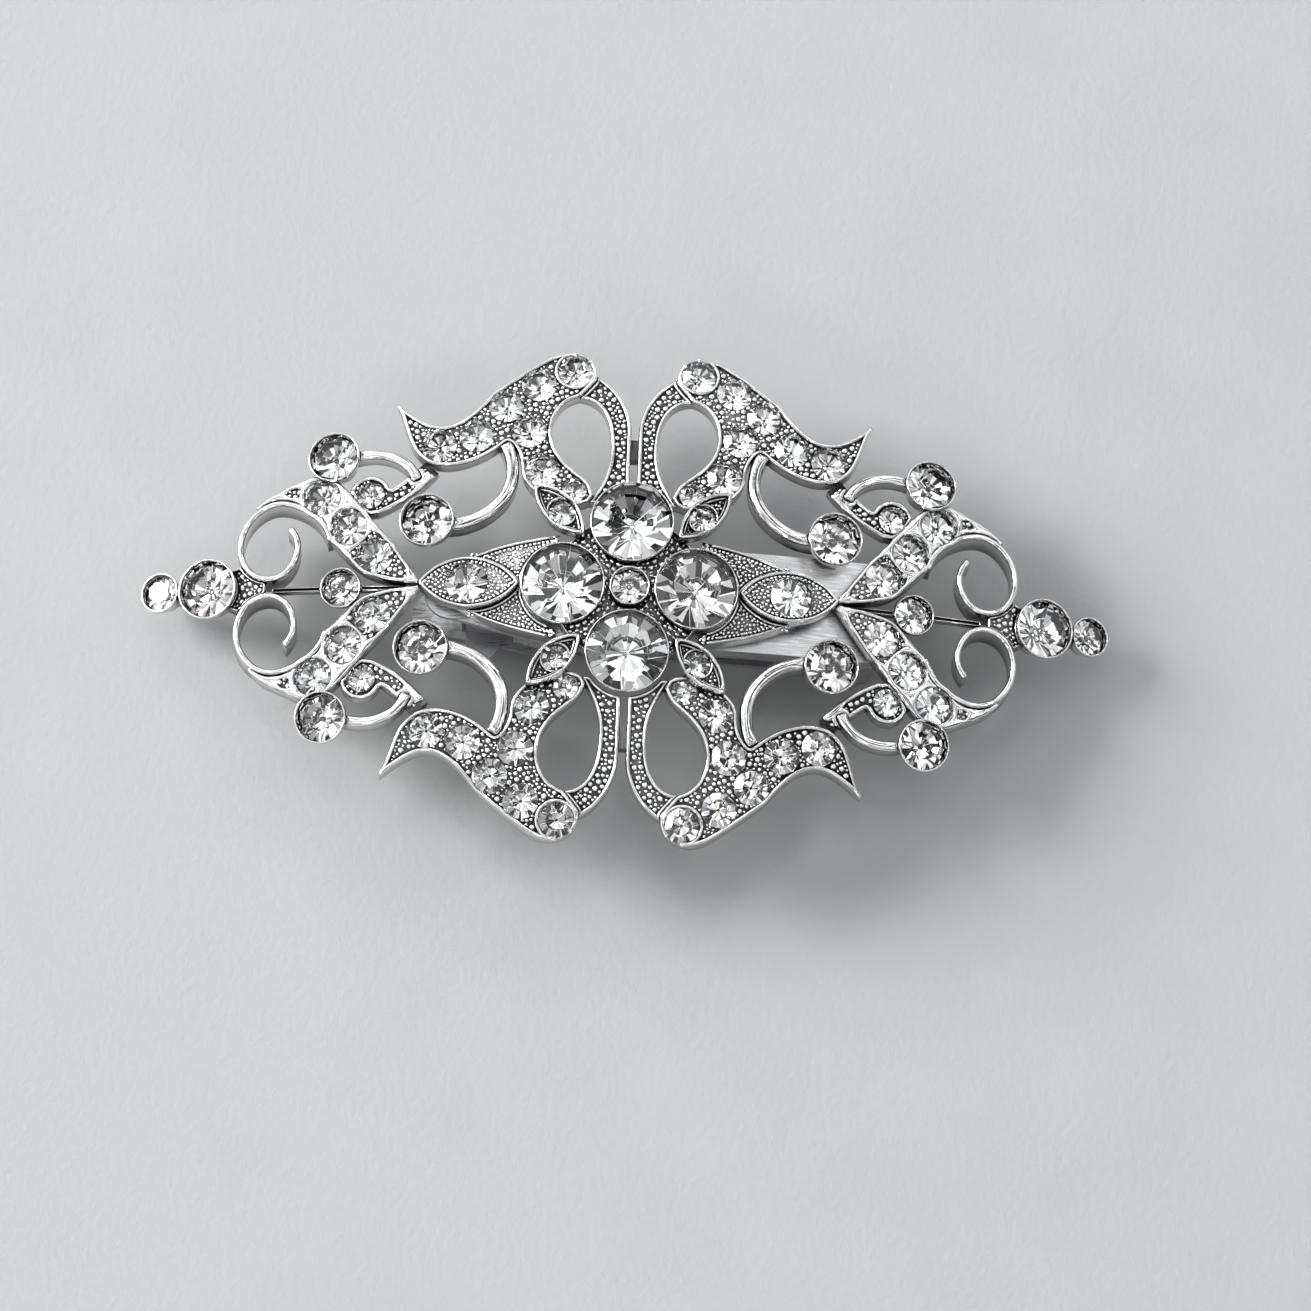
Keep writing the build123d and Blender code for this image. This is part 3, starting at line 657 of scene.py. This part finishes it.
# ---------------------------------------------------------------- stage
floor_mesh = bpy.data.meshes.new("paper_floor")
bm = bmesh.new()
bmesh.ops.create_grid(bm, x_segments=24, y_segments=24, size=1.2)
bm.to_mesh(floor_mesh)
bm.free()
floor_mesh.materials.append(paper())
floor = bpy.data.objects.new("paper_floor", floor_mesh)
bpy.context.scene.collection.objects.link(floor)
floor.location.z = -0.02 * MM


def softbox(name, place, target, size, power):
    """A square soft light aimed at a point."""
    lamp = bpy.data.lights.new(name, "AREA")
    lamp.shape = "SQUARE"
    lamp.size = size
    lamp.energy = power
    holder = bpy.data.objects.new(name, lamp)
    bpy.context.scene.collection.objects.link(holder)
    holder.location = place
    holder.rotation_mode = "QUATERNION"
    holder.rotation_quaternion = (Vector(place) - Vector(target)).to_track_quat("Z", "Y")


SPARKLES = ((0.5, 0.9, 0.9), (0.95, -0.2, 0.85), (-0.35, -0.9, 0.8), (-0.2, 0.4, 1.2))
softbox("key_window", (-1.2, 0.38, 0.62), APEX, size=0.6, power=33)
for number, spot in enumerate(SPARKLES):
    softbox(f"sparkle_{number}", spot, APEX, size=0.14, power=0.6)

PANEL_SCALE = 5.5
WINDOW_DIRECTION = (-0.62, 0.55, 0.56)


def studio():
    """A room of pale panels and darker gaps round the table, lighter on the window side."""
    world = bpy.data.worlds.new("studio")
    bpy.context.scene.world = world
    world.use_nodes = True
    tree = world.node_tree
    direction = tree.nodes.new("ShaderNodeTexCoord").outputs["Generated"]
    panels = tree.nodes.new("ShaderNodeTexVoronoi")
    panels.inputs["Scale"].default_value = PANEL_SCALE
    tree.links.new(direction, panels.inputs["Vector"])
    panel = tree.nodes.new("ShaderNodeSeparateColor")
    tree.links.new(panels.outputs["Color"], panel.inputs["Color"])
    window_side = tree.nodes.new("ShaderNodeVectorMath")
    window_side.operation = "DOT_PRODUCT"
    window_side.inputs[1].default_value = WINDOW_DIRECTION
    tree.links.new(direction, window_side.inputs[0])
    panel_light = remap(tree, panel.outputs["Red"], 0.03, 1.6, 0.2, 0.85)
    side_light = remap(tree, window_side.outputs["Value"], 0.35, 1.65, -1.0, 1.0)
    tree.links.new(multiplied(tree, panel_light, side_light), tree.nodes["Background"].inputs["Strength"])
    tree.nodes["Background"].inputs["Color"].default_value = (0.97, 0.985, 1.0, 1)
    backdrop = tree.nodes.new("ShaderNodeBackground")
    backdrop.inputs["Color"].default_value = (0.62, 0.625, 0.63, 1)
    seen = tree.nodes.new("ShaderNodeMixShader")
    tree.links.new(tree.nodes.new("ShaderNodeLightPath").outputs["Is Camera Ray"], seen.inputs["Fac"])
    tree.links.new(tree.nodes["Background"].outputs["Background"], seen.inputs[1])
    tree.links.new(backdrop.outputs["Background"], seen.inputs[2])
    tree.links.new(seen.outputs["Shader"], tree.nodes["World Output"].inputs["Surface"])


studio()

# ---------------------------------------------------------------- camera
CAMERA_DISTANCE = 0.55
CAMERA_TILT = 15.1
CAMERA_SWING = -1.5
CAMERA_ROLL = 2.7
LENS = 166
SENSOR = 36
camera_data = bpy.data.cameras.new("camera")
camera_data.lens = LENS
camera_data.sensor_width = SENSOR
camera_data.clip_start = 0.01
camera_data.clip_end = 10
camera = bpy.data.objects.new("camera", camera_data)
bpy.context.scene.collection.objects.link(camera)
turned = (
    Matrix.Rotation(math.radians(CAMERA_TILT), 4, "X")
    @ Matrix.Rotation(math.radians(CAMERA_SWING), 4, "Y")
    @ Matrix.Rotation(math.radians(CAMERA_ROLL), 4, "Z")
)
aimed_past = Vector((2.4 * MM, -6.0 * MM, CAMERA_DISTANCE))
camera.matrix_world = Matrix.Translation(APEX) @ turned @ Matrix.Translation(aimed_past)
bpy.context.scene.camera = camera
bpy.context.scene.view_settings.view_transform = "Standard"
